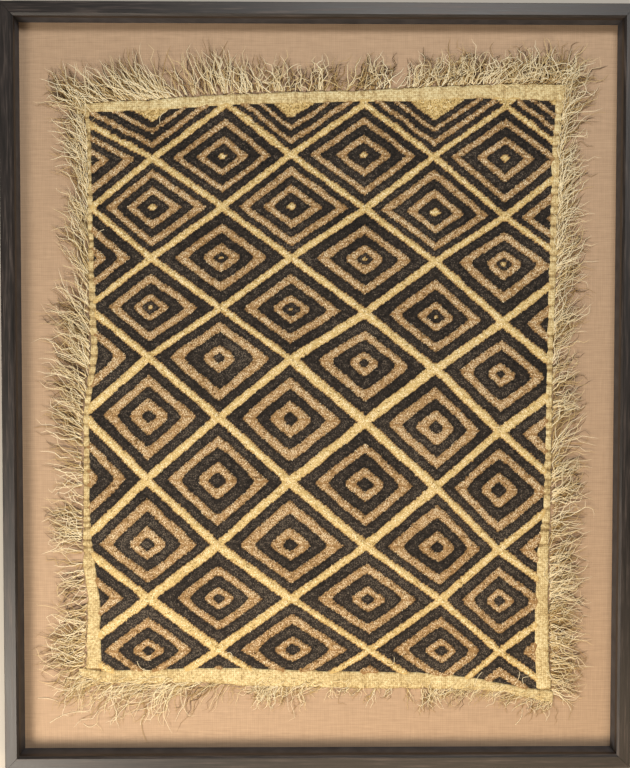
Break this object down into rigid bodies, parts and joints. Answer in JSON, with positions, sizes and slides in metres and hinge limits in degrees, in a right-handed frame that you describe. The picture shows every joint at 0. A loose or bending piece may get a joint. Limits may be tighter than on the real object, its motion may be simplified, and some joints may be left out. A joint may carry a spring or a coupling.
{
  "type": "kuba raffia cloth in a box frame",
  "caption": "Raffia cloth with a cut-pile lattice of nested diamonds, folded hems and a loose fringe, laid on a linen-covered board inside a dark wooden box frame, for display on a wall.",
  "frame": {"origin": "middle of the back of the frame, on the surface it lies on", "axes": "+Z out of the cloth's face, +Y towards the cloth's top hem, +X to the right across the cloth"},
  "size_m": [0.732, 0.888, 0.032],
  "materials": {
    "frame_wood": "dark stained, open grain, satin",
    "spacer_board": "charcoal painted, matt",
    "linen": "plain woven natural linen",
    "raffia_pile": "cut raffia pile in black, tan and straw",
    "raffia_fringe": "frayed natural raffia"
  },
  "bodies": {
    "root": {"frame_rail_top": "frame_wood", "frame_rail_left": "frame_wood", "frame_rail_bottom": "frame_wood", "frame_rail_right": "frame_wood", "frame_spacer_top": "spacer_board", "frame_spacer_left": "spacer_board", "frame_spacer_bottom": "spacer_board", "frame_spacer_right": "spacer_board", "linen_mount_board": "linen", "kuba_cloth": "raffia_pile", "fringe_top": "raffia_fringe", "fringe_bottom": "raffia_fringe", "fringe_left": "raffia_fringe", "fringe_right": "raffia_fringe"}
  },
  "joints": []
}
